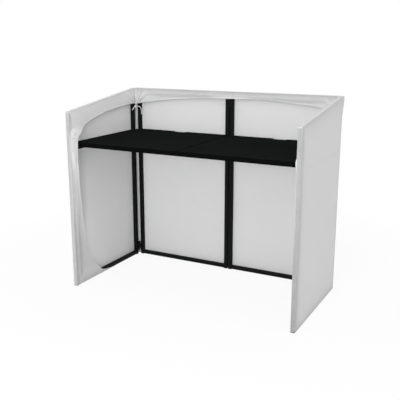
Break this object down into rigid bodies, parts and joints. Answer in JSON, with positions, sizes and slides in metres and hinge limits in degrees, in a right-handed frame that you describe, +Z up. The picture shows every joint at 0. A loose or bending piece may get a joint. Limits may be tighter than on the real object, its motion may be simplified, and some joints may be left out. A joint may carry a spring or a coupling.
{
  "type": "dj booth",
  "caption": "Folding DJ booth: hinged square-tube panels with sloped sides, black folding table top and a white stretch cover with tied corners.",
  "frame": {"origin": "on the floor under the middle of the booth's box", "axes": "+X to the DJ's right along the front wall, +Y from the DJ towards the audience, +Z up"},
  "size_m": [1.356, 0.6954, 1.1],
  "materials": {
    "frame_paint": "black satin powder coat on square steel tube",
    "foot_plastic": "black moulded plug",
    "ledge_paint": "black satin powder coat on steel angle",
    "hinge_paint": "black painted steel leaf",
    "pin_steel": "drawn steel pin",
    "screw_steel": "blackened steel screw",
    "table_board": "black laminated board with black edge band",
    "cover_fabric": "white knitted stretch fabric, matte",
    "tie_cord": "white round cord"
  },
  "bodies": {
    "front_left": {"corner_hinge_front_leaf_left": "hinge_paint", "cover_corner_left": "cover_fabric", "cover_front_left": "cover_fabric", "cover_middle": "cover_fabric", "feet_front_left": "foot_plastic", "frame_front_left": "frame_paint", "ledge_front_left": "ledge_paint", "ledge_screws_front_left": "screw_steel", "middle_hinge_leaf_left": "hinge_paint", "middle_hinge_pins": "pin_steel", "tie_knot_left": "tie_cord", "tie_long_tail_left": "tie_cord", "tie_short_tail_left": "tie_cord", "tie_strand_left": "tie_cord"},
    "side_left": {"corner_hinge_pins_left": "pin_steel", "corner_hinge_side_leaf_left": "hinge_paint", "cover_side_left": "cover_fabric", "feet_side_left": "foot_plastic", "frame_side_left": "frame_paint", "ledge_screws_side_left": "screw_steel", "ledge_side_left": "ledge_paint"},
    "front_right": {"corner_hinge_front_leaf_right": "hinge_paint", "cover_corner_right": "cover_fabric", "cover_front_right": "cover_fabric", "feet_front_right": "foot_plastic", "frame_front_right": "frame_paint", "ledge_front_right": "ledge_paint", "ledge_screws_front_right": "screw_steel", "middle_hinge_leaf_right": "hinge_paint", "tie_knot_right": "tie_cord", "tie_long_tail_right": "tie_cord", "tie_short_tail_right": "tie_cord", "tie_strand_right": "tie_cord"},
    "side_right": {"corner_hinge_pins_right": "pin_steel", "corner_hinge_side_leaf_right": "hinge_paint", "cover_side_right": "cover_fabric", "feet_side_right": "foot_plastic", "frame_side_right": "frame_paint", "ledge_screws_side_right": "screw_steel", "ledge_side_right": "ledge_paint"},
    "table_left": {"table_half_left": "table_board", "table_hinge_leaf_left": "hinge_paint", "table_hinge_pins": "pin_steel", "table_hinge_screws_left": "screw_steel"},
    "table_right": {"table_half_right": "table_board", "table_hinge_leaf_right": "hinge_paint", "table_hinge_screws_right": "screw_steel"}
  },
  "joints": [
    {"name": "left_fold", "type": "hinge", "parent": "front_left", "child": "side_left", "pos_m": [-0.6548, 0.3191, 0.55], "axis": [0, 0, -1], "range_deg": [0, 90], "deforming": ["cover_corner_left"]},
    {"name": "middle_fold", "type": "hinge", "parent": "front_left", "child": "front_right", "pos_m": [0, 0.3429, 0.55], "axis": [0, 0, 1], "range_deg": [0, 175], "deforming": ["cover_middle"]},
    {"name": "right_fold", "type": "hinge", "parent": "front_right", "child": "side_right", "pos_m": [0.6548, 0.3191, 0.55], "axis": [0, 0, 1], "range_deg": [0, 90], "deforming": ["cover_corner_right"]},
    {"name": "table_lift", "type": "slide", "parent": "front_left", "child": "table_left", "axis": [0, 0, 1], "range_m": [0, 0.3]},
    {"name": "table_fold", "type": "hinge", "parent": "table_left", "child": "table_right", "pos_m": [0, 0, 0.8458], "axis": [0, -1, 0], "range_deg": [0, 180]}
  ]
}
